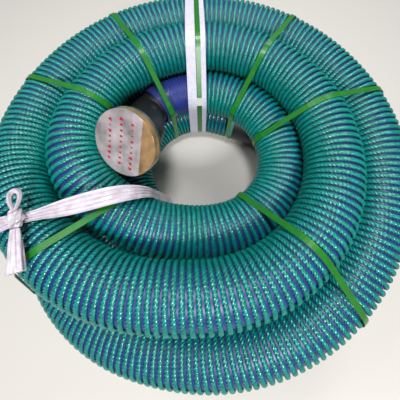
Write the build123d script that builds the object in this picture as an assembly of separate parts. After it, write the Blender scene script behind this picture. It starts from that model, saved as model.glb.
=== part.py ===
"""A rope-wrapped PVC suction hose, coiled, strapped and tied for delivery.

Millimetres. The coil stands on z = 0 with its axis on the Z axis.  Its inner
end, with the coupling, comes up at the -X side; its other end lies in the
bottom layer.  The hose is one long run of three layers (liner, rigid helix,
blue cover) with a green rope wound round it, so the long nodes are all swept
along the same route.
"""

import os
from math import cos, radians, sin, tan

from build123d import *

# ---------------------------------------------------------------- dimensions

# Hose, from the bore outwards (radii).
bore_radius = 46.0
liner_radius = 47.5
helix_radius = 50.5
cover_radius = 52.0
rope_radius = 59.0

# The coil is laid out in hose pitches: one hose and a hair of air.
pitch = 2 * rope_radius + 0.6
floor_gap = pitch / 2 - rope_radius

# The coil's axis stands here, so that the whole part is centred on the origin.
coil_axis = Vector(11.7, -4.8, 0)

# Course of the hose round the coil: angle from +X (degrees, clockwise turns
# are negative), distance from the coil's axis and height of the centre line,
# both in hose pitches.  The hose climbs out from the inner turn to the middle
# one, steps out to the outer turn, dives to the floor and spirals back in.
coil_course = [
    (130, 1.68, 1.50),
    (90, 1.70, 1.50),
    (0, 1.70, 1.50),
    (-90, 1.46, 1.50),
    (-135, 1.78, 1.82),
    (-180, 2.36, 2.24),
    (-270, 2.39, 2.24),
    (-450, 2.40, 2.24),
    (-495, 2.86, 2.25),
    (-518, 3.20, 2.20),
    (-540, 3.42, 2.05),
    (-630, 3.42, 2.07),
    (-720, 3.41, 1.96),
    (-765, 3.40, 1.62),
    (-810, 3.40, 1.27),
    (-855, 3.62, 0.90),
    (-900, 3.68, 0.50),
    (-990, 3.48, 0.50),
    (-1080, 3.48, 0.50),
    (-1125, 3.34, 0.50),
    (-1148, 3.04, 0.50),
    (-1170, 2.67, 0.50),
    (-1215, 2.60, 0.50),
    (-1260, 2.70, 1.22),
    (-1430, 2.70, 1.20),
    (-1462, 2.45, 0.82),
    (-1485, 2.06, 0.54),
    (-1530, 1.60, 0.50),
    (-1575, 1.57, 0.50),
    (-1620, 1.70, 0.50),
    (-1760, 1.67, 0.50),
]
first_angle = 120
last_angle = -1740
angle_step = 20

# Mouth of the coupled end: the middle of its face and the way it looks.
mouth = coil_axis + Vector(-1.27, -0.17, 2.72) * pitch
mouth_axis = Vector(-0.36, -0.63, 0.69).normalized()
neck_length = 0.58 * pitch
cut_end_angle = 140
cut_end_reach = 1.655
cut_end_height = 1.52

# Coupled end.
sleeve_wall = 3.0
stub_wall = 3.0
stub_length = 36.0
lip_radius = 56.0
lip_length = 6.5
gasket_thickness = 1.5
flange_radius = 69.0
flange_thickness = 14.0
flange_play = 0.4
bolt_count = 6
bolt_hole_radius = 4.5
bolt_circle_radius = 62.5
film_thickness = 0.4
film_skirt = 12.0
tape_thickness = 0.5
wrap_thickness = 0.8

# Open end.
open_end_length = 42.0
cuff_radius = 57.5
cuff_socket = 30.0
cuff_reach = 40.0

# Rope fixings.
whipping_width = 10.0
whipping_thickness = 3.5

# Straps: where each crosses the coil (degrees) and whether it also goes
# round the coupled end, which one of them passes under.
strap_places = [
    (123, True),
    (158, False),
    (218, True),
    (312, True),
    (18, True),
    (56, True),
    (92, True),
]
strap_width = 12.0
strap_thickness = 0.8
strap_gap = 0.25
band_sides = 48
seal_length = 22.0
seal_width = 14.0
seal_thickness = 2.4
seal_lift = 150.0

# White ribbon and film tie.
ribbon_place = 92.0
ribbon_aside = -25.0
ribbon_width = 34.0
tie_place = 197.0
tie_aside = -66.0
tie_width = 36.0
soft_band_thickness = 1.6
knot_radius = 17.0
knot_lift = 104.0
tie_loop_radius = 16.0
tie_loop_bar = 5.0
tail_length = 80.0
tail_radius = 8.0
tail_tip_radius = 13.0


# --------------------------------------------------------------------- route


def steady_slope(before, here, after, column):
    """Slope of one column of the course at a station, flat at a crest."""
    rise = (here[column] - before[column]) / (here[0] - before[0])
    fall = (after[column] - here[column]) / (after[0] - here[0])
    if rise * fall <= 0:
        return 0.0
    return 2 * rise * fall / (rise + fall)


def course_at(angle, column):
    """Distance (column 1) or height (column 2) of the coil at an angle."""
    last = len(coil_course) - 1
    index = 0
    while index < last - 1 and coil_course[index + 1][0] > angle:
        index += 1
    here = coil_course[index]
    after = coil_course[index + 1]
    start_slope = 0.0
    end_slope = 0.0
    if index > 0:
        start_slope = steady_slope(coil_course[index - 1], here, after, column)
    if index + 2 <= last:
        end_slope = steady_slope(here, after, coil_course[index + 2], column)
    span = after[0] - here[0]
    t = (angle - here[0]) / span
    return (
        (2 * t**3 - 3 * t**2 + 1) * here[column]
        + (t**3 - 2 * t**2 + t) * span * start_slope
        + (3 * t**2 - 2 * t**3) * after[column]
        + (t**3 - t**2) * span * end_slope
    )


def coil_point(angle, distance, height):
    turn = radians(angle)
    reach = distance * pitch
    return coil_axis + Vector(reach * cos(turn), reach * sin(turn), height * pitch - floor_gap)


def hose_points():
    """Corners of the hose's route, from the mouth to the open end."""
    points = [
        mouth,
        mouth - mouth_axis * neck_length,
        coil_point(cut_end_angle, cut_end_reach, cut_end_height),
    ]
    # The route rounds each corner on its inside, so the corners lie outside.
    outset = 2 / (1 + cos(radians(angle_step / 2)))
    for angle in range(first_angle, last_angle - 1, -angle_step):
        distance = course_at(angle, 1) * outset
        points.append(coil_point(angle, distance, course_at(angle, 2)))
    # The open end runs on straight, for its cuff.
    along = (points[-1] - points[-2]).normalized()
    points[-1] = points[-1] + along * open_end_length
    return points


points = hose_points()


def corner_radius(index):
    """Arc at a corner: as large as its two runs allow."""
    incoming = points[index] - points[index - 1]
    outgoing = points[index + 1] - points[index]
    turn = radians(incoming.get_angle(outgoing))
    return 0.45 * min(incoming.length, outgoing.length) / tan(turn / 2)


def run_point(place):
    """Point on the run at a place counted in runs: 3.5 is halfway along run 3."""
    index = min(int(place), len(points) - 2)
    return points[index] + (points[index + 1] - points[index]) * (place - index)


def route(start, end):
    """Part of the hose's centre line, between two places within runs."""
    corners = range(int(start) + 1, int(end - 0.001) + 1)
    stops = [run_point(start)] + [points[index] for index in corners] + [run_point(end)]
    return FilletPolyline(*stops, radius=[corner_radius(index) for index in corners])


def tube(path, outer_radius, inner_radius):
    """Pipe along a path."""
    section = Plane(origin=path @ 0, z_dir=path % 0) * (Circle(outer_radius) - Circle(inner_radius))
    return sweep(section, path)


# Places along the route where one piece ends and the next begins.
hose_start = 2.5
rope_start = 4.5
hose_end = len(points) - 1
rope_end = hose_end - (cuff_socket + whipping_width) / (points[-1] - points[-2]).length
runs_per_turn = 18


# -------------------------------------------------------------- hose and rope


def make_hose_layers():
    """The three layers of the hose wall, each swept in one piece."""
    whole = route(hose_start, hose_end)
    roped = route(rope_start, hose_end)
    bare = route(hose_start, rope_start)
    return {
        "inner_liner": tube(whole, liner_radius, bore_radius),
        "rigid_helix": tube(whole, helix_radius, liner_radius),
        "outer_cover": tube(roped, cover_radius, helix_radius),
        "bare_cover": tube(bare, cover_radius, helix_radius),
    }


def make_rope_turns():
    """The rope winding as a plain sleeve, one node for each turn of the coil."""
    turns = {}
    start = rope_start
    while start < rope_end:
        end = min(start + runs_per_turn, rope_end)
        if rope_end - end < 1:
            end = rope_end
        turns[f"rope_turn_{len(turns) + 1}"] = tube(route(start, end), rope_radius, cover_radius)
        start = end
    return turns


def make_whipping(place, way):
    """Band that holds an end of the rope down on the hose, on one side of a place."""
    index = int(place)
    along = (points[index + 1] - points[index]).normalized() * way
    section = Circle(cover_radius + whipping_thickness) - Circle(cover_radius)
    return Plane(origin=run_point(place), z_dir=along) * extrude(section, whipping_width)


# ----------------------------------------------------------------- coupled end

mouth_plane = Plane(origin=mouth, z_dir=mouth_axis)


def ring(outer_radius, inner_radius, low, high):
    """Ring about the coupling's axis, between two places behind the mouth."""
    section = Circle(outer_radius)
    if inner_radius > 0:
        section = section - Circle(inner_radius)
    return mouth_plane * (Pos(0, 0, low) * extrude(section, high - low))


def make_coupled_end():
    """Rubber sleeve, stub, gasket and the loose flange with its wrapping."""
    stub_radius = bore_radius - sleeve_wall
    lip_back = -gasket_thickness - lip_length
    flange_front = lip_back - flange_play
    flange_back = flange_front - flange_thickness
    sleeve_start = (0.5 - flange_back) / neck_length

    stub = ring(stub_radius, stub_radius - stub_wall, -stub_length, -gasket_thickness)
    stub += ring(lip_radius, stub_radius - stub_wall, lip_back, -gasket_thickness)

    flange = ring(flange_radius, stub_radius + flange_play, flange_back, flange_front)
    drill = Pos(0, 0, flange_back) * extrude(Circle(bolt_hole_radius), flange_thickness)
    for bolt_hole in PolarLocations(bolt_circle_radius, bolt_count):
        flange -= mouth_plane * bolt_hole * drill

    skirt_radius = flange_radius + film_thickness
    film = ring(skirt_radius, 0, flange_play, flange_play + film_thickness)
    film += ring(skirt_radius, flange_radius, flange_front - film_skirt / 2, flange_play + film_thickness)

    tape = ring(skirt_radius + tape_thickness, skirt_radius, flange_front - film_skirt / 2, flange_play)
    return {
        "end_sleeve": tube(route(sleeve_start, hose_start + 1), bore_radius, stub_radius),
        "coupling_stub": stub,
        "coupling_gasket": ring(lip_radius - 1, stub_radius - stub_wall + 1, -gasket_thickness, 0),
        "loose_flange": flange,
        "mouth_film": film,
        "rim_tape": tape,
    }


def make_end_wrap():
    """Smooth tape round the cut end of the hose."""
    path = route(hose_start, hose_start + 1)
    return tube(path, cover_radius + wrap_thickness, cover_radius)


def make_open_cuff():
    """Straight cuff on the hose's other end; its bore takes a pipe or fitting."""
    along = (points[-1] - points[-2]).normalized()
    plane = Plane(origin=points[-1], z_dir=along)
    body = Pos(0, 0, -cuff_socket) * extrude(Circle(cuff_radius), cuff_socket + cuff_reach)
    body -= Pos(0, 0, -cuff_socket) * extrude(Circle(cover_radius), cuff_socket)
    body -= extrude(Circle(bore_radius), cuff_reach)
    return plane * body


# ------------------------------------------------------------- straps and ties


def upright(place, aside=0.0):
    """Upright plane at an angle: x outwards from the coil's axis, or beside it, and y up."""
    turn = radians(place)
    across = Vector(sin(turn), -cos(turn), 0)
    return Plane(origin=coil_axis + across * aside, x_dir=(cos(turn), sin(turn), 0), z_dir=across)


def crossings(plane, whole_hose):
    """Where the hose passes through an upright plane, and how square it is to it."""
    outline = route(hose_start if whole_hose else rope_start, hose_end)
    found = []
    for edge in outline.edges():
        ends = [plane.to_local_coords(edge @ 0), plane.to_local_coords(edge @ 1)]
        if ends[0].Z * ends[1].Z > 0 or ends[0].X < 0:
            continue
        low, high = 0.0, 1.0
        for _ in range(20):
            middle = (low + high) / 2
            if plane.to_local_coords(edge @ middle).Z * ends[0].Z > 0:
                low = middle
            else:
                high = middle
        centre = plane.to_local_coords(edge @ low)
        slant = radians((edge % low).get_angle(plane.z_dir))
        found.append((centre.X, centre.Y, abs(cos(slant))))
    return found


def band(plane, whole_hose, width, thickness):
    """Closed band pulled tight round every turn that an upright plane cuts.

    Under the lowest turns it bites into the rope, so that it clears the floor.
    """
    edges = []
    for across, up, straightness in crossings(plane, whole_hose):
        reach = rope_radius / straightness + width / 2 * (1 / straightness - 1) + strap_gap
        centre_height = max(up, reach + thickness + 0.05)
        edges += (Pos(across, centre_height) * RegularPolygon(reach, band_sides)).edges()
    inside = make_hull(edges)
    outline = offset(inside, thickness, kind=Kind.INTERSECTION) - inside
    return extrude(plane * outline, width / 2, both=True)


def make_straps():
    straps = {}
    seals = []
    for number, (place, whole_hose) in enumerate(strap_places, 1):
        plane = upright(place)
        straps[f"strap_{number}"] = band(plane, whole_hose, strap_width, strap_thickness)
        seals.append(make_seal(plane, whole_hose))
    straps["strap_seals"] = Compound(children=seals)
    return straps


def make_seal(plane, whole_hose):
    """Folded clip on a strap, on the inner shoulder of the highest inner turn."""
    turns = crossings(plane, whole_hose)
    across, up, straightness = min(turns, key=lambda turn: turn[0] - 0.8 * turn[1])
    reach = rope_radius / straightness + strap_gap + strap_thickness
    lift = radians(seal_lift)
    spot = Vector(across + reach * cos(lift), up + reach * sin(lift), 0)
    clip = Box(seal_thickness, seal_length, seal_width, align=(Align.MIN, Align.CENTER, Align.CENTER))
    return plane * (Pos(spot) * Rot(0, 0, seal_lift) * Pos(0.1, 0, 0) * clip)


def make_ties():
    """White ribbon beside one strap, and the film tie with its knot, loop and tail."""
    ribbon = band(upright(ribbon_place, ribbon_aside), True, ribbon_width, soft_band_thickness)
    tie_plane = upright(tie_place, tie_aside)
    tie = band(tie_plane, True, tie_width, soft_band_thickness)

    # The knot sits on top of the highest outer turn, with its loop and tail along the hose.
    turns = crossings(tie_plane, True)
    across, up, straightness = max(turns, key=lambda turn: turn[0] + turn[1])
    reach = rope_radius / straightness + strap_gap + soft_band_thickness + knot_radius
    lift = radians(knot_lift)
    shoulder = tie_plane * Pos(across + reach * cos(lift), up + reach * sin(lift), 0) * Rot(0, 0, knot_lift)
    loop_offset = Pos(1, 0, knot_radius + tie_loop_radius + tie_loop_bar) * Rot(0, 90, 0)
    tail_offset = Pos(1, 0, -knot_radius - 0.6) * Rot(180, 0, 0)
    tail_align = (Align.CENTER, Align.CENTER, Align.MIN)
    return {
        "white_ribbon": ribbon,
        "film_tie": tie,
        "film_tie_knot": shoulder * Pos(-1, 0, 0) * Sphere(knot_radius),
        "film_tie_loop": shoulder * loop_offset * Torus(tie_loop_radius, tie_loop_bar),
        "film_tie_tail": shoulder * tail_offset * Cone(tail_radius, tail_tip_radius, tail_length, align=tail_align),
    }


# ----------------------------------------------------------------------- write


def main():
    nodes = {}
    nodes.update(make_hose_layers())
    nodes.update(make_rope_turns())
    nodes["rope_whipping_head"] = make_whipping(rope_start, -1)
    nodes["rope_whipping_tail"] = make_whipping(rope_end, 1)
    nodes.update(make_coupled_end())
    nodes["end_wrap"] = make_end_wrap()
    nodes["open_cuff"] = make_open_cuff()
    nodes.update(make_straps())
    nodes.update(make_ties())

    boxes = [solid.bounding_box() for solid in nodes.values()]
    print("x", min(box.min.X for box in boxes), max(box.max.X for box in boxes))
    print("y", min(box.min.Y for box in boxes), max(box.max.Y for box in boxes))
    print("z", min(box.min.Z for box in boxes), max(box.max.Z for box in boxes))
    along = (points[-1] - points[-2]).normalized()
    print("cuff bore from", points[-1], "along", along)
    print("mouth", mouth, "looks along", mouth_axis)
    print("tie knot", nodes["film_tie_knot"].center())
    whole = route(hose_start, hose_end)
    print(f"hose length {whole.length / 1000:.2f} m")
    radii = [corner_radius(index) for index in range(1, len(points) - 1)]
    print("corner radii", [round(radius) for radius in radii])
    expected = 3.141593 * (liner_radius**2 - bore_radius**2) * whole.length
    print(f"liner volume against section times length {nodes['inner_liner'].volume / expected:.4f}")

    os.makedirs("parts", exist_ok=True)
    for name, solid in nodes.items():
        export_step(solid, f"parts/{name}.step")


main()
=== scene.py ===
"""Looks of a coiled suction hose wound with green rope, strapped and tied in a bundle.

All lengths are in metres. The hose follows the same points as the CAD model.
"""
from math import cos, exp, pi, radians, sin

import bpy
import numpy as np
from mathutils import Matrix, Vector


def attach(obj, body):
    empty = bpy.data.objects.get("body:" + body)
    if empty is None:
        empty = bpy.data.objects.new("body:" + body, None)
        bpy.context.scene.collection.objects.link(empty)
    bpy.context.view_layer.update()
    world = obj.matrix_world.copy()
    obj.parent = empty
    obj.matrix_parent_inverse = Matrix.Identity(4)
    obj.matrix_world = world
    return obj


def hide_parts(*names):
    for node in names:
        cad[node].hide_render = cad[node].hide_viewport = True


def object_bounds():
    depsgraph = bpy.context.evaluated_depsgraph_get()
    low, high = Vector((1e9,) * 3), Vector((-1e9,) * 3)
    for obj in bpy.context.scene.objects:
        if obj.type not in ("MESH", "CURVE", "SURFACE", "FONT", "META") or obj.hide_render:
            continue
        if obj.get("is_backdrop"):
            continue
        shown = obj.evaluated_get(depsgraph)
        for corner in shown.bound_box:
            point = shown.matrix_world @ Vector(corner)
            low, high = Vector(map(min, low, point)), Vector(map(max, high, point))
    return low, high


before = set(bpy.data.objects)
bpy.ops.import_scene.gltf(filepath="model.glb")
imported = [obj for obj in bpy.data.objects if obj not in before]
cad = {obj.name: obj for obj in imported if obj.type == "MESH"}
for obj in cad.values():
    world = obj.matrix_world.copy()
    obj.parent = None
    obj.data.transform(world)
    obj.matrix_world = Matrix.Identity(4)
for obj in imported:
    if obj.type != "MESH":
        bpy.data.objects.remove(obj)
cad_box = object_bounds()

# ------------------------------------------------------------ driving sizes

rope_radius = 0.059
hose_radius = 0.052
pitch = 2 * rope_radius + 0.0006
floor_gap = pitch / 2 - rope_radius
coil_axis = Vector((0.0117, -0.0048, 0))

# Angle in degrees, distance from the axis and height, both in hose pitches.
coil_course = [
    (130, 1.68, 1.50),
    (90, 1.70, 1.50),
    (0, 1.70, 1.50),
    (-90, 1.46, 1.50),
    (-135, 1.78, 1.82),
    (-180, 2.36, 2.24),
    (-270, 2.39, 2.24),
    (-450, 2.40, 2.24),
    (-495, 2.86, 2.25),
    (-518, 3.20, 2.20),
    (-540, 3.42, 2.05),
    (-630, 3.42, 2.07),
    (-720, 3.41, 1.96),
    (-765, 3.40, 1.62),
    (-810, 3.40, 1.27),
    (-855, 3.62, 0.90),
    (-900, 3.68, 0.50),
    (-990, 3.48, 0.50),
    (-1080, 3.48, 0.50),
    (-1125, 3.34, 0.50),
    (-1148, 3.04, 0.50),
    (-1170, 2.67, 0.50),
    (-1215, 2.60, 0.50),
    (-1260, 2.70, 1.22),
    (-1430, 2.70, 1.20),
    (-1462, 2.45, 0.82),
    (-1485, 2.06, 0.54),
    (-1530, 1.60, 0.50),
    (-1575, 1.57, 0.50),
    (-1620, 1.70, 0.50),
    (-1760, 1.67, 0.50),
]
first_angle = 120
last_angle = -1740
angle_step = 20
mouth = coil_axis + Vector((-1.27, -0.17, 2.72)) * pitch
mouth_axis = Vector((-0.36, -0.63, 0.69)).normalized()
neck_length = 0.58 * pitch
open_end_length = 0.042
runs_per_turn = 18
hose_start = 2
rope_start = 4
turn_count = 6

# Rope: three strands laid together and wound round the hose.
wrap_pitch = 0.0132
rope_middle = 0.0555
rope_half_width = 0.0056
rope_half_height = 0.0034
strand_lay = 0.0200

knot_place = Vector((-0.293914, -0.167251, 0.343614))
tie_place = 197
tie_aside = -0.066
ribbon_place = 92
ribbon_aside = -0.025
knot_lift = 104

random = np.random.default_rng(7)

# ------------------------------------------------------------------- camera

camera_elevation = 67.4
camera_distance = 0.541
aim_height = 0.2654
aim = coil_axis + Vector((0, 0, aim_height))
camera_data = bpy.data.cameras.new("camera")
camera_data.sensor_width = 36
camera_data.lens = 22.29
camera_data.shift_x = -0.004
camera_data.shift_y = -0.137
camera_data.clip_start = 0.01
camera = bpy.data.objects.new("camera", camera_data)
back = Vector((0, -cos(radians(camera_elevation)), sin(radians(camera_elevation))))
camera.location = aim + back * camera_distance
camera.rotation_euler = (radians(90 - camera_elevation), 0, 0)
bpy.context.collection.objects.link(camera)
bpy.context.scene.camera = camera

# ---------------------------------------------------------- route of the hose


def steady_slope(before, after):
    """Slope at a station that never overshoots its two neighbours."""
    if before * after <= 0:
        return 0.0
    return 2 * before * after / (before + after)


def course_at(angle, column):
    """Distance or height at an angle, smoothly between the stations."""
    stations = [(-row[0], row[column]) for row in coil_course]
    place = -angle
    slopes = [(b[1] - a[1]) / (b[0] - a[0]) for a, b in zip(stations, stations[1:])]
    for index, (start, end) in enumerate(zip(stations, stations[1:])):
        if start[0] <= place <= end[0]:
            break
    slope_in = steady_slope(slopes[index - 1], slopes[index]) if index else slopes[0]
    last = index == len(slopes) - 1
    slope_out = slopes[-1] if last else steady_slope(slopes[index], slopes[index + 1])
    width = end[0] - start[0]
    u = (place - start[0]) / width
    return (
        (2 * u**3 - 3 * u**2 + 1) * start[1]
        + (u**3 - 2 * u**2 + u) * width * slope_in
        + (3 * u**2 - 2 * u**3) * end[1]
        + (u**3 - u**2) * width * slope_out
    )


def coil_point(angle, distance, height):
    turn = radians(angle)
    reach = distance * pitch
    return coil_axis + Vector((reach * cos(turn), reach * sin(turn), height * pitch - floor_gap))


def hose_points():
    """Control points of the hose, from its covered mouth to its open end."""
    outset = 2 / (1 + cos(radians(angle_step / 2)))
    route = [mouth, mouth - mouth_axis * neck_length, coil_point(140, 1.655, 1.52)]
    for angle in range(first_angle, last_angle - 1, -angle_step):
        route.append(coil_point(angle, course_at(angle, 1) * outset, course_at(angle, 2)))
    along = (route[-1] - route[-2]).normalized()
    route[-1] = route[-1] + along * open_end_length
    return route


def spline_points(points):
    """Points along the smooth line of the control points."""
    data = bpy.data.curves.new("route", "CURVE")
    data.dimensions = "3D"
    spline = data.splines.new("NURBS")
    spline.points.add(len(points) - 1)
    for spot, point in zip(spline.points, points):
        spot.co = (*point, 1)
    spline.order_u = 3
    spline.use_endpoint_u = True
    data.resolution_u = 20
    holder = bpy.data.objects.new("route", data)
    bpy.context.collection.objects.link(holder)
    mesh = bpy.data.meshes.new_from_object(holder)
    line = np.array([vertex.co[:] for vertex in mesh.vertices])
    bpy.data.objects.remove(holder)
    bpy.data.meshes.remove(mesh)
    return line


def unit(vectors):
    return vectors / np.linalg.norm(vectors, axis=-1, keepdims=True)


class Line:
    """A smooth line with a frame that doesn't twist along it."""

    def __init__(self, points):
        self.points = points
        steps = np.linalg.norm(np.diff(points, axis=0), axis=1)
        self.places = np.concatenate([[0], np.cumsum(steps)])
        self.along = unit(np.gradient(points, self.places, axis=0))
        side = np.cross(self.along[0], [0, 0, 1.0])
        sides = []
        for along in self.along:
            side = side - along * np.dot(side, along)
            side = side / np.linalg.norm(side)
            sides.append(side)
        self.side = np.array(sides)
        self.length = self.places[-1]

    def at(self, places, values=None):
        values = self.points if values is None else values
        return np.stack([np.interp(places, self.places, values[:, k]) for k in range(3)], axis=1)

    def frame(self, places):
        along = unit(self.at(places, self.along))
        side = self.at(places, self.side)
        side = unit(side - along * np.sum(side * along, axis=1, keepdims=True))
        return self.at(places), along, side, np.cross(along, side)

    def nearest(self, point):
        return self.places[np.argmin(np.linalg.norm(self.points - np.array(point), axis=1))]


points = hose_points()
hose_line = Line(spline_points(points))


def middle_of_run(index):
    return hose_line.nearest((points[index] + points[index + 1]) / 2)


# -------------------------------------------------------------- mesh helpers


def skin(name, rings, around=True, closed=False):
    """Quads through rows of points; closed joins the last row to the first."""
    rows, columns = rings.shape[:2]
    column = np.arange(columns if around else columns - 1)
    row = np.arange(rows if closed else rows - 1)
    next_column = (column + 1) % columns
    next_row = (row + 1) % rows
    quads = np.stack(
        [
            row[:, None] * columns + column[None, :],
            row[:, None] * columns + next_column[None, :],
            next_row[:, None] * columns + next_column[None, :],
            next_row[:, None] * columns + column[None, :],
        ],
        axis=-1,
    ).reshape(-1, 4)
    mesh = bpy.data.meshes.new(name)
    mesh.vertices.add(rows * columns)
    mesh.vertices.foreach_set("co", rings.astype(np.float32).ravel())
    mesh.loops.add(len(quads) * 4)
    mesh.loops.foreach_set("vertex_index", quads.astype(np.int32).ravel())
    mesh.polygons.add(len(quads))
    mesh.polygons.foreach_set("loop_start", np.arange(0, len(quads) * 4, 4, dtype=np.int32))
    mesh.polygons.foreach_set("use_smooth", np.ones(len(quads), dtype=bool))
    mesh.update(calc_edges=True)
    mesh.validate()
    piece = bpy.data.objects.new(name, mesh)
    bpy.context.collection.objects.link(piece)
    return piece


def ring_rows(places, radii, sides):
    """Rings of a tube round the hose's line."""
    middle, _, side, other = hose_line.frame(places)
    turn = np.linspace(0, 2 * pi, sides, endpoint=False)
    outward = side[:, None] * np.cos(turn)[None, :, None] + other[:, None] * np.sin(turn)[None, :, None]
    return middle[:, None] + outward * np.asarray(radii)[:, None, None]


# ------------------------------------------------------------------ the hose

start_place = middle_of_run(hose_start)
rope_place = middle_of_run(rope_start)
end_place = hose_line.length
rib_pitch = 0.0078
rib_height = 0.0021

bare_places = np.arange(start_place, rope_place + 0.02, 0.0008)
rib_turn = np.cos(2 * pi * (bare_places - start_place) / rib_pitch)
bare_radii = hose_radius - rib_height + rib_height * np.clip(0.5 + 0.75 * rib_turn, 0, 1)
wound_places = np.arange(bare_places[-1] + 0.008, end_place, 0.008)
wound_radii = np.full(len(wound_places), hose_radius)
hose_places = np.concatenate([bare_places, wound_places, [end_place]])
hose_radii = np.concatenate([bare_radii, wound_radii, [hose_radius]])
hose = skin("hose", ring_rows(hose_places, hose_radii, 40))
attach(hose, "hose")
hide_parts("inner_liner", "rigid_helix", "outer_cover", "bare_cover")

# Smooth tape round the bare hose beside the sleeve.
tape_length = 0.046
tape_thickness = 0.0008
wrap_places = np.linspace(start_place, start_place + tape_length, 30)
wrap_places = np.concatenate([[start_place], wrap_places])
wrap_radii = np.full(len(wrap_places), hose_radius + tape_thickness)
wrap_radii[0] = hose_radius
wrap_radii[-1] = hose_radius - 0.001
wrap = skin("end_tape", ring_rows(wrap_places, wrap_radii, 96))
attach(wrap, "hose")
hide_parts("end_wrap")

# ------------------------------------------------------------------ the rope


def rope_rows(start, end, lobe_points, steps_per_lay):
    """Rings of the twisted rope between two places along the hose."""
    wrap_length = 2 * pi * rope_middle
    steps = int((end - start) / wrap_pitch * wrap_length / strand_lay * steps_per_lay)
    places = np.linspace(start, end, steps)
    middle, _, side, other = hose_line.frame(places)
    turn = 2 * pi * places / wrap_pitch
    outward = side * np.cos(turn)[:, None] + other * np.sin(turn)[:, None]
    centre = middle + outward * rope_middle
    along = unit(np.gradient(centre, axis=0))
    across = unit(np.cross(along, outward))
    twist = -2 * pi * places / wrap_pitch * wrap_length / strand_lay
    columns = 3 * lobe_points
    column = np.arange(columns)
    from_crest = (column % lobe_points - lobe_points / 2) / lobe_points * 2 * pi / 3
    strand, offset = 0.47, 0.53
    lobe = offset * np.cos(from_crest) + np.sqrt(strand**2 - (offset * np.sin(from_crest)) ** 2)
    angle = column / columns * 2 * pi
    angle = angle[None, :] + twist[:, None]
    wide = rope_half_width * np.cos(angle) * lobe[None, :]
    high = rope_half_height * np.sin(angle) * lobe[None, :]
    return centre[:, None] + across[:, None] * wide[..., None] + outward[:, None] * high[..., None]


tail_place = end_place - open_end_length
turn_places = [middle_of_run(rope_start + runs_per_turn * turn) for turn in range(turn_count - 1)]
last_turn_run = min(rope_start + runs_per_turn * (turn_count - 1), len(points) - 3)
turn_places.append(middle_of_run(last_turn_run))
turn_places.append(tail_place)
ropes = []
for turn in range(turn_count):
    fine = turn < 3
    rows = rope_rows(turn_places[turn], turn_places[turn + 1], 3 if fine else 2, 7 if fine else 5)
    rope = skin(f"rope_{turn + 1}", rows)
    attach(rope, "hose")
    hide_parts(f"rope_turn_{turn + 1}")
    ropes.append(rope)

# ----------------------------------------------------------- ribbon and film


def upright(place, aside):
    """Origin, outward and sideways directions of an upright plane through the bundle."""
    turn = radians(place)
    normal = Vector((sin(turn), -cos(turn), 0))
    return coil_axis + normal * aside, Vector((cos(turn), sin(turn), 0)), normal


def hull(flat_points):
    """Outer outline of flat points, anticlockwise."""
    ordered = sorted(set(flat_points))
    outline = []
    for row in (ordered, ordered[::-1]):
        part = []
        for spot in row:
            while len(part) > 1:
                (ax, ay), (bx, by) = part[-2], part[-1]
                if (bx - ax) * (spot[1] - ay) - (by - ay) * (spot[0] - ax) > 0:
                    break
                part.pop()
            part.append(spot)
        outline += part[:-1]
    return np.array(outline)


def band_line(node, place, aside, step=0.003):
    """Evenly spaced points round the outside of a CAD band, in its own plane."""
    origin, outward, normal = upright(place, aside)
    flat_points = []
    for vertex in cad[node].data.vertices:
        spot = vertex.co - origin
        flat_points.append((round(spot.dot(outward), 5), round(spot.z, 5)))
    outline = hull(flat_points)
    closed = np.vstack([outline, outline[:1]])
    lengths = np.concatenate([[0], np.cumsum(np.linalg.norm(np.diff(closed, axis=0), axis=1))])
    places = np.linspace(0, lengths[-1], int(lengths[-1] / step), endpoint=False)
    flat = np.stack([np.interp(places, lengths, closed[:, k]) for k in range(2)], axis=1)
    return flat, places, lengths[-1]


def make_band(name, node, place, aside, half_width, pleats, depth, sink=0.0001, shift=0.0):
    """Creased strip pulled round the bundle; half_width gives half its width at a point."""
    flat, places, perimeter = band_line(node, place, aside)
    origin, outward, normal = (np.array(vector) for vector in upright(place, aside))
    ahead = unit(np.roll(flat, -1, axis=0) - np.roll(flat, 1, axis=0))
    out = np.stack([ahead[:, 1], -ahead[:, 0]], axis=1)
    across = np.linspace(-1, 1, 33)
    widths = np.array([half_width(spot) for spot in flat])
    drift = 0.5 * np.sin(2 * pi * places / perimeter * 3) + 0.3 * np.sin(2 * pi * places / perimeter * 7)
    crease = np.cos(pi * pleats * across[None, :] + drift[:, None] * (1 - across[None, :] ** 2))
    crease = crease + 0.4 * np.cos(2.3 * pi * pleats * across[None, :] - 2 * drift[:, None])
    tight = 0.016 / np.maximum(widths, 0.008)
    off_floor = np.clip(flat[:, 1] / 0.03, 0, 1)
    lift = depth * (off_floor * np.minimum(tight, 1.4))[:, None] * (0.5 + 0.35 * crease) - sink
    level = flat[:, None] + out[:, None] * lift[..., None]
    rows = (
        origin
        + level[..., :1] * outward
        + level[..., 1:] * np.array([0, 0, 1.0])
        + (across[None, :] * widths[:, None] + shift)[..., None] * normal
    )
    piece = skin(name, rows, around=False, closed=True)
    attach(piece, "hose")
    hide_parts(node)
    return piece, perimeter


def film_width(spot):
    """Gathered at the knot and at the hole's edge, spread between them."""
    to_knot = np.hypot(spot[0] - 0.33, spot[1] - 0.325)
    to_hole = np.hypot(spot[0] - 0.11, spot[1] - 0.25)
    return 0.0175 - 0.009 * exp(-((to_knot / 0.05) ** 2)) - 0.0075 * exp(-((to_hole / 0.07) ** 2))


film_band, film_length = make_band(
    "film_band", "film_tie", tie_place, tie_aside, film_width, pleats=4, depth=0.0026
)

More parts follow.
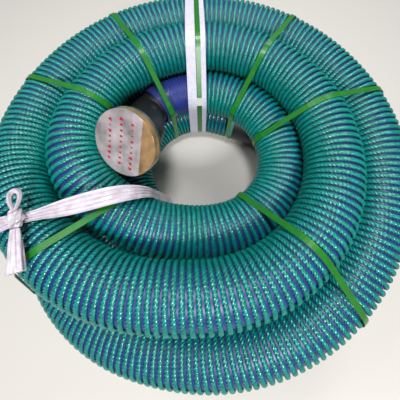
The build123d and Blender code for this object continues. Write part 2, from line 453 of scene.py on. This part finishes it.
# The ribbon shows on both sides of the strap that runs along it.
ribbons = []
for name, half_width, shift in (("ribbon_left", 0.0115, 0.0065), ("ribbon_right", 0.0060, 0.0370)):
    ribbon, ribbon_length = make_band(
        name,
        "white_ribbon",
        ribbon_place,
        ribbon_aside,
        lambda spot, half_width=half_width: half_width,
        pleats=2,
        depth=0.0006,
        sink=0.0015,
        shift=shift,
    )
    ribbons.append(ribbon)

# Knot, loop and tail of the film tie, in the frame of the shoulder it sits on.
_, tie_out, tie_normal = upright(tie_place, tie_aside)
lift_angle = radians(knot_lift)
knot_up = tie_out * cos(lift_angle) + Vector((0, 0, sin(lift_angle)))
knot_side = tie_normal.cross(knot_up)
knot_frame = np.array([knot_up, knot_side, tie_normal])


def at_knot(local):
    return np.array(knot_place) + local @ knot_frame


knot_turn = np.linspace(0, 2 * pi, 56, endpoint=False)
knot_rise = np.linspace(0.04, pi - 0.04, 36)
ridge = 1 + 0.13 * np.sin(5 * knot_rise[:, None] * 1.3 + 2 * knot_turn[None, :])
ridge = ridge + 0.05 * np.sin(9 * knot_turn[None, :] + 4 * knot_rise[:, None])
knot_rows = 0.0135 * ridge[..., None] * np.stack(
    [
        0.85 * np.sin(knot_rise)[:, None] * np.cos(knot_turn)[None, :],
        0.95 * np.sin(knot_rise)[:, None] * np.sin(knot_turn)[None, :],
        1.15 * np.cos(knot_rise)[:, None] * np.ones(56)[None, :],
    ],
    axis=-1,
)
knot = skin("film_knot", at_knot(knot_rows))

loop_turn = np.linspace(0, 2 * pi, 72, endpoint=False)
loop_edge = np.linspace(0, 2 * pi, 24, endpoint=False)
teardrop = np.stack(
    [
        0.002 + 0.002 * np.cos(loop_turn),
        0.0105 * np.sin(loop_turn) * np.sin(loop_turn / 2) ** 1.2,
        0.010 + 0.0185 * (1 - np.cos(loop_turn)),
    ],
    axis=1,
)
loop_ahead = unit(np.roll(teardrop, -1, axis=0) - np.roll(teardrop, 1, axis=0))
loop_in = unit(np.cross(loop_ahead, [1.0, 0, 0]))
loop_gather = 0.35 + 0.65 * np.sin(loop_turn / 2)
loop_crease = 1 + 0.12 * np.cos(5 * loop_edge)[None, :] * np.ones(72)[:, None]
loop_rows = teardrop[:, None] + loop_gather[:, None, None] * (
    (0.0075 * loop_crease * np.cos(loop_edge)[None, :])[..., None] * np.array([1.0, 0, 0])
    + (0.0042 * loop_crease * np.sin(loop_edge)[None, :])[..., None] * loop_in[:, None]
)
loop = skin("film_loop", at_knot(loop_rows), closed=True)

tail_run = np.linspace(0, 1, 44)
tail_turn = np.linspace(0, 2 * pi, 64, endpoint=False)
tail_size = 0.0060 + 0.0058 * tail_run**0.8
pleat = 1 + 0.13 * np.cos(6 * tail_turn[None, :] + 1.5 * tail_run[:, None])
pleat = pleat + 0.05 * np.cos(11 * tail_turn[None, :] - 3 * tail_run[:, None])
tail_rows = np.stack(
    [
        0.001 + 0.66 * tail_size[:, None] * pleat * np.cos(tail_turn)[None, :],
        1.0 * tail_size[:, None] * pleat * np.sin(tail_turn)[None, :],
        -0.0178 - 0.066 * tail_run[:, None] * np.ones(64)[None, :],
    ],
    axis=-1,
)
tail = skin("film_tail", at_knot(tail_rows))
thickness = tail.modifiers.new("thickness", "SOLIDIFY")
thickness.thickness = 0.0006
thickness.offset = -1
for piece, node in ((knot, "film_tie_knot"), (loop, "film_tie_loop"), (tail, "film_tie_tail")):
    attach(piece, "tie_tail" if piece is tail else "hose")
    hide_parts(node)

# --------------------------------------------------------- film over the mouth

mouth_up = (Vector((0, 0, 1)) - mouth_axis * mouth_axis.z).normalized()
mouth_side = mouth_up.cross(mouth_axis)
mouth_frame = np.array([mouth_side, mouth_up, mouth_axis])
film_reach = [(vertex.co - mouth).dot(mouth_axis) for vertex in cad["mouth_film"].data.vertices]
film_face = max(film_reach) - 0.0002
film_back = min(film_reach)
film_radius = max(
    ((vertex.co - mouth) - mouth_axis * (vertex.co - mouth).dot(mouth_axis)).length
    for vertex in cad["mouth_film"].data.vertices
)


def film_height(x, y):
    """Wrinkles of the film, which sinks a little over the open bore."""
    from_middle = np.hypot(x, y) / film_radius
    folds = np.sin(x * 210 + 1.4 * np.sin(y * 60)) + 0.6 * np.sin(x * 420 + y * 90)
    slack = np.clip(1 - (from_middle / 0.62) ** 2, 0, 1)
    edge = np.clip(4 * (1 - from_middle), 0, 1)
    return film_face - 0.0012 * slack + 0.0007 * edge * (0.4 + 0.6 * folds)


film_turn = np.linspace(0, 2 * pi, 144, endpoint=False)
film_steps = np.concatenate([np.linspace(0.002, 0.985, 60), [1.0]])
rows = []
for step in film_steps:
    x = film_radius * step * np.cos(film_turn)
    y = film_radius * step * np.sin(film_turn)
    rows.append(np.stack([x, y, film_height(x, y)], axis=1))
for depth in np.linspace(0.001, film_face - film_back, 10):
    pleats = 1 - 0.008 * (0.5 + 0.5 * np.cos(48 * film_turn)) * min(1, depth / 0.004)
    x = film_radius * pleats * np.cos(film_turn)
    y = film_radius * pleats * np.sin(film_turn)
    rows.append(np.stack([x, y, np.full_like(x, film_face - depth)], axis=1))
film = skin("mouth_cover", np.array(mouth) + np.array(rows) @ mouth_frame)
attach(film, "coupling")
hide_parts("mouth_film")

# Three columns of plain printed spots on the film.
print_lean = 0.19
print_reach = 0.058
marks = []
spot_turn = np.linspace(0, 2 * pi, 16, endpoint=False)
for column in (-0.034, -0.008, 0.018):
    for index in range(9):
        y = -0.046 + 0.0115 * index
        x = column - print_lean * y
        if np.hypot(x, y) > print_reach:
            continue
        size = random.uniform(0.55, 1.1)
        ragged = 1 + 0.25 * np.sin(3 * spot_turn + 5 * index)
        spots = []
        for step in (0.02, 0.4, 0.75, 1.0):
            spot_x = x + 0.0040 * size * step * ragged * np.cos(spot_turn)
            spot_y = y + 0.0030 * size * step * ragged * np.sin(spot_turn)
            spots.append(np.stack([spot_x, spot_y, film_height(spot_x, spot_y) + 0.00025], axis=1))
        mark = skin(f"film_mark_{len(marks) + 1}", np.array(mouth) + np.array(spots) @ mouth_frame)
        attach(mark, "coupling")
        marks.append(mark)

# Packing tape wound over the flange's rim.
tape_spots = [vertex.co - mouth for vertex in cad["rim_tape"].data.vertices]
tape_levels = [spot.dot(mouth_axis) for spot in tape_spots]
tape_radius = max((spot - mouth_axis * spot.dot(mouth_axis)).length for spot in tape_spots)
tape_turn = np.linspace(0, 2 * pi, 240, endpoint=False)
tape_levels = np.linspace(max(tape_levels), min(tape_levels), 16)
rumple = random.normal(0, 1, (6, 2))
tape_rows = []
for level in tape_levels:
    wave = np.zeros_like(tape_turn)
    for order, (a, b) in enumerate(rumple, 4):
        wave = wave + a * np.cos(order * tape_turn + 300 * level)
        wave = wave + b * np.sin(2 * order * tape_turn - 200 * level)
    radius = tape_radius - 0.00015 + 0.00016 * wave
    x, y = radius * np.cos(tape_turn), radius * np.sin(tape_turn)
    tape_rows.append(np.stack([x, y, np.full_like(x, level)], axis=1))
tape = skin("rim_wrap", np.array(mouth) + np.array(tape_rows) @ mouth_frame)
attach(tape, "coupling")
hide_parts("rim_tape")

# Strap seals: the one on the strap beside the ribbon is pale, the others are as green as the straps.
strap_angles = (123, 158, 218, 312, 18, 56, 92)


def make_seal(number, angle):
    """Copy of one CAD seal with two crimps pressed across it."""
    origin, outward, normal = upright(angle, 0)
    whole = cad["strap_seals"].data
    picked = [
        face
        for face in whole.polygons
        if abs((face.center - origin).dot(normal)) < 0.009 and (face.center - origin).dot(outward) > 0
    ]
    numbers = sorted({index for face in picked for index in face.vertices})
    place_of = {index: place for place, index in enumerate(numbers)}
    mesh = bpy.data.meshes.new(f"seal_{number}")
    faces = [[place_of[index] for index in face.vertices] for face in picked]
    mesh.from_pydata([whole.vertices[index].co[:] for index in numbers], [], faces)
    piece = bpy.data.objects.new(f"seal_{number}", mesh)
    bpy.context.collection.objects.link(piece)
    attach(piece, "hose")
    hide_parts("strap_seals")
    return piece


seals = [make_seal(number, angle) for number, angle in enumerate(strap_angles, 1)]

# ----------------------------------------------------------------- materials


def material(
    name, colour, roughness, darker=0.8, grain=300, bump=0.2, bump_scale=900, coat=0, metallic=0, shine=0.5
):
    """Plastic, film or metal with a slightly uneven colour and a fine surface."""
    made = bpy.data.materials.new(name)
    made.use_nodes = True
    nodes = made.node_tree.nodes
    links = made.node_tree.links
    shader = nodes["Principled BSDF"]
    shader.inputs["Roughness"].default_value = roughness
    shader.inputs["Metallic"].default_value = metallic
    shader.inputs["Specular IOR Level"].default_value = shine
    shader.inputs["Coat Weight"].default_value = coat
    shader.inputs["Coat Roughness"].default_value = 0.15
    where = nodes.new("ShaderNodeTexCoord")
    cloud = nodes.new("ShaderNodeTexNoise")
    cloud.inputs["Scale"].default_value = grain
    cloud.inputs["Detail"].default_value = 4
    links.new(where.outputs["Object"], cloud.inputs["Vector"])
    ramp = nodes.new("ShaderNodeValToRGB")
    ramp.color_ramp.elements[0].position = 0.3
    ramp.color_ramp.elements[1].position = 0.7
    ramp.color_ramp.elements[0].color = (*(channel * darker for channel in colour), 1)
    ramp.color_ramp.elements[1].color = (*colour, 1)
    links.new(cloud.outputs["Fac"], ramp.inputs["Fac"])
    links.new(ramp.outputs["Color"], shader.inputs["Base Color"])
    fine = nodes.new("ShaderNodeTexNoise")
    fine.inputs["Scale"].default_value = bump_scale
    fine.inputs["Detail"].default_value = 3
    links.new(where.outputs["Object"], fine.inputs["Vector"])
    raised = nodes.new("ShaderNodeBump")
    raised.inputs["Strength"].default_value = bump
    raised.inputs["Distance"].default_value = 0.0004
    links.new(fine.outputs["Fac"], raised.inputs["Height"])
    links.new(raised.outputs["Normal"], shader.inputs["Normal"])
    return made


def dress(piece, made):
    piece.data.materials.clear()
    piece.data.materials.append(made)


def dress_cad(node, made):
    for slot in cad[node].material_slots:
        slot.material = made


rope_green = material(
    "rope_green", (0.001, 0.25, 0.225), 0.21,
    darker=0.45, shine=0.7, grain=140, bump_scale=1500,
)
blue_pvc = material("blue_pvc", (0.022, 0.038, 0.22), 0.40, darker=0.8, grain=60, bump=0.1)
strap_green = material(
    "strap_green", (0.012, 0.17, 0.014), 0.30,
    darker=0.8, grain=80, bump=0.5, bump_scale=700,
)
ribbon_white = material(
    "ribbon_white", (0.62, 0.60, 0.74), 0.6,
    grain=120, bump=0.4, bump_scale=1800,
)
film_white = material(
    "film_white", (0.60, 0.54, 0.62), 0.26,
    darker=0.62, grain=60, bump=0.3, bump_scale=260, coat=0.4,
)
cover_film = material(
    "cover_film", (0.42, 0.37, 0.39), 0.20,
    darker=0.35, grain=26, bump=0.4, bump_scale=180, coat=0.5,
)
mark_red = material("mark_red", (0.42, 0.02, 0.05), 0.4, darker=0.6)
tape_brown = material(
    "tape_brown", (0.33, 0.20, 0.09), 0.16,
    darker=0.45, grain=40, bump=0.5, bump_scale=150, coat=0.6,
)
black_rubber = material("black_rubber", (0.012, 0.012, 0.014), 0.45, darker=0.7, grain=90, bump=0.3)
wrap_blue = material(
    "wrap_blue", (0.020, 0.028, 0.15), 0.26,
    darker=0.8, grain=60, bump_scale=200, coat=0.5,
)
steel = material("steel", (0.45, 0.44, 0.42), 0.38, darker=0.8, grain=150, bump=0.15, metallic=1.0)
seal_white = material("seal_white", (0.80, 0.80, 0.78), 0.35, darker=0.9, grain=90, metallic=0.3)
thread_green = material(
    "thread_green", (0.05, 0.34, 0.26), 0.6,
    darker=0.6, grain=400, bump=0.8, bump_scale=700,
)
cuff_black = material("cuff_black", (0.02, 0.02, 0.022), 0.4, darker=0.8, grain=90, bump=0.25)
floor_pale = material("floor_pale", (0.59, 0.57, 0.54), 0.9, darker=0.99, bump=0.0)

dress(hose, blue_pvc)
dress(wrap, wrap_blue)
for rope in ropes:
    dress(rope, rope_green)
dress(film_band, film_white)
for ribbon in ribbons:
    dress(ribbon, ribbon_white)
for piece in (knot, loop, tail):
    dress(piece, film_white)
dress(film, cover_film)
dress(tape, tape_brown)
for mark in marks:
    dress(mark, mark_red)

# The brown tape also covers the right-hand edge of the film's face and its skirt.
tape_edge = 0.56
film.data.materials.append(tape_brown)
for face in film.data.polygons:
    spot = face.center - mouth
    on_tape = spot.dot(mouth_side) + print_lean * spot.dot(mouth_up) > tape_edge * film_radius
    face.material_index = 1 if on_tape or spot.dot(mouth_axis) < film_face - 0.003 else 0
for number in range(1, len(strap_angles) + 1):
    dress_cad(f"strap_{number}", strap_green)
for seal in seals[:-1]:
    dress(seal, strap_green)
dress(seals[-1], seal_white)
for node, made in (
    ("end_sleeve", black_rubber),
    ("coupling_stub", cuff_black),
    ("coupling_gasket", black_rubber),
    ("loose_flange", steel),
    ("open_cuff", cuff_black),
    ("rope_whipping_head", thread_green),
    ("rope_whipping_tail", thread_green),
):
    dress_cad(node, made)

# ------------------------------------------------------------ floor and light

floor_mesh = bpy.data.meshes.new("floor")
floor_size = 6
floor_drop = 0.0002
floor_mesh.from_pydata(
    [(x * floor_size, y * floor_size, 0) for x, y in ((-1, -1), (1, -1), (1, 1), (-1, 1))],
    [],
    [(0, 1, 2, 3)],
)
floor = bpy.data.objects.new("floor", floor_mesh)
bpy.context.collection.objects.link(floor)
floor.location.z = -floor_drop
dress(floor, floor_pale)
floor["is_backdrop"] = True

world = bpy.data.worlds.new("world")
world.use_nodes = True
world.node_tree.nodes["Background"].inputs["Color"].default_value = (1.0, 0.985, 0.96, 1)
world.node_tree.nodes["Background"].inputs["Strength"].default_value = 0.22
bpy.context.scene.world = world
bpy.context.scene.view_settings.view_transform = "Standard"

lights = [
    ("key", (0.25, -1.6, 1.9), 0.45, 44, (1.0, 0.99, 0.97)),
    ("fill", (-1.5, 0.6, 2.1), 0.7, 13, (1.0, 1.0, 1.0)),
    ("back", (0.9, 1.5, 1.8), 0.5, 14, (1.0, 1.0, 1.0)),
    ("top", (0.0, 0.0, 2.2), 0.35, 26, (1.0, 1.0, 1.0)),
]
for name, place, size, power, colour in lights:
    data = bpy.data.lights.new(name, "AREA")
    data.size = size
    data.energy = power
    data.color = colour
    lamp = bpy.data.objects.new(name, data)
    lamp.location = place
    lamp.rotation_euler = (aim - Vector(place)).to_track_quat("-Z", "Y").to_euler()
    bpy.context.collection.objects.link(lamp)

boxes = {"cad": cad_box, "visual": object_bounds()}
rows = {name: [[float(value) for value in corner] for corner in box] for name, box in boxes.items()}
